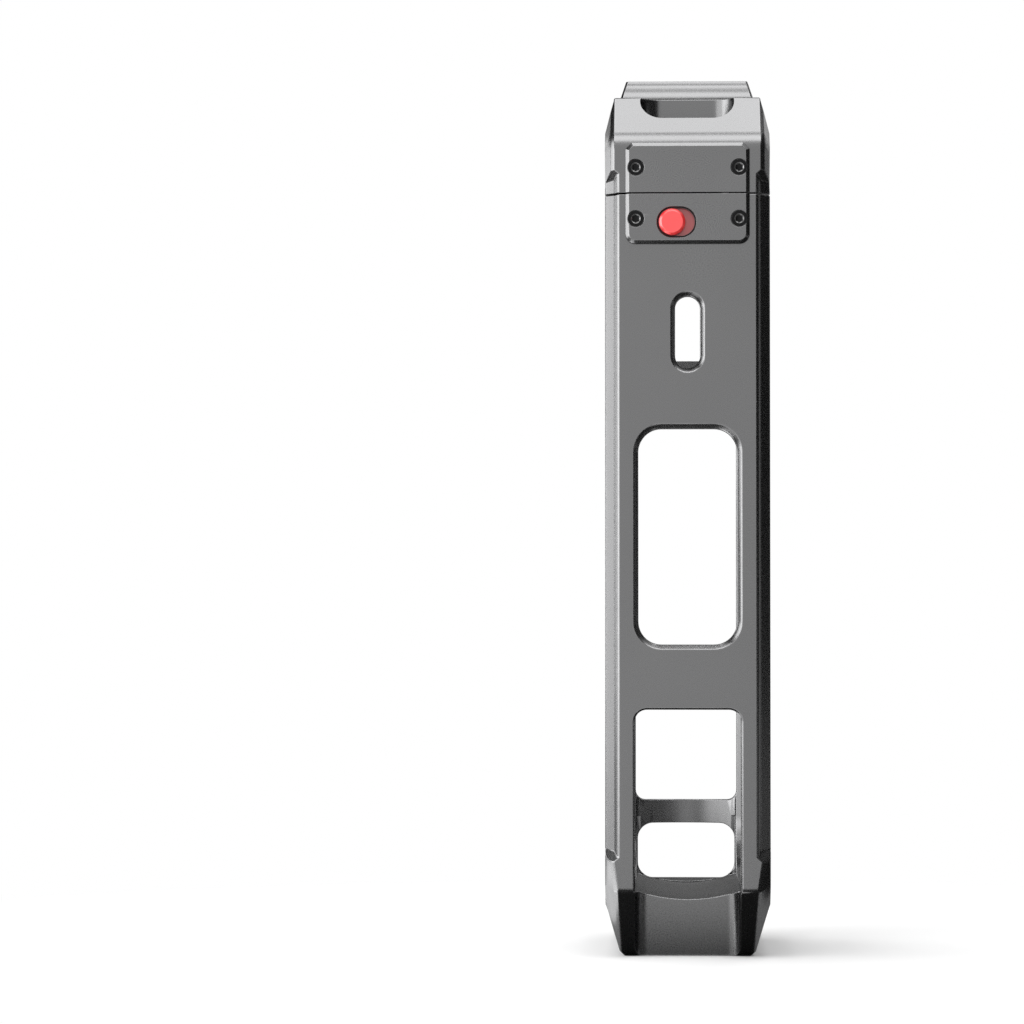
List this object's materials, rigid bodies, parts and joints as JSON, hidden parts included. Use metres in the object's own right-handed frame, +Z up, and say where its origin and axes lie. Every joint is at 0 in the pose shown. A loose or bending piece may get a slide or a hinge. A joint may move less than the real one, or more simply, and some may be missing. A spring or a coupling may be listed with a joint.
{
  "type": "camera cage",
  "caption": "Tall aluminium cage for a pocket camera: a U-shaped body, a cap that swings open on a hinge, a red slide lock, and accessory shoes on the cap and on one side wall.",
  "frame": {"origin": "mouth of the tripod thread, in the middle of the base's flat underside", "axes": "+Z up towards the cap, +X towards the wall with the slide lock, -X towards the hinge and the side shoe, Y from front to back"},
  "size_m": [0.0578, 0.0244, 0.1318],
  "materials": {
    "anodised": "satin dark grey anodising over a bead-blasted milled surface",
    "red_anodised": "bright red anodising",
    "black_steel": "black oxide",
    "steel": "plain hardened steel",
    "pad": "matt soft pad"
  },
  "bodies": {
    "frame": {"body_frame": "anodised", "hinge_pin": "steel", "hinge_spring": "steel", "latch_cover": "anodised", "latch_cover_screws": "black_steel", "click_spring": "steel"},
    "cap": {"cap_frame": "anodised", "strike_cover": "anodised", "strike_cover_screws": "black_steel", "strike_hook": "steel", "top_shoe": "anodised", "top_shoe_screws": "black_steel", "cap_pad": "pad"},
    "lock": {"lock_slider": "red_anodised", "lock_button": "red_anodised"}
  },
  "joints": [
    {"name": "cap_hinge", "type": "hinge", "parent": "frame", "child": "cap", "pos_m": [-0.0248, 0, 0.1117], "axis": [0, -1, 0], "range_deg": [0, 85], "deforming": ["hinge_spring"]},
    {"name": "lock_slide", "type": "slide", "parent": "frame", "child": "lock", "axis": [0, 1, 0], "range_m": [0, 0.0013], "deforming": ["click_spring"]}
  ]
}
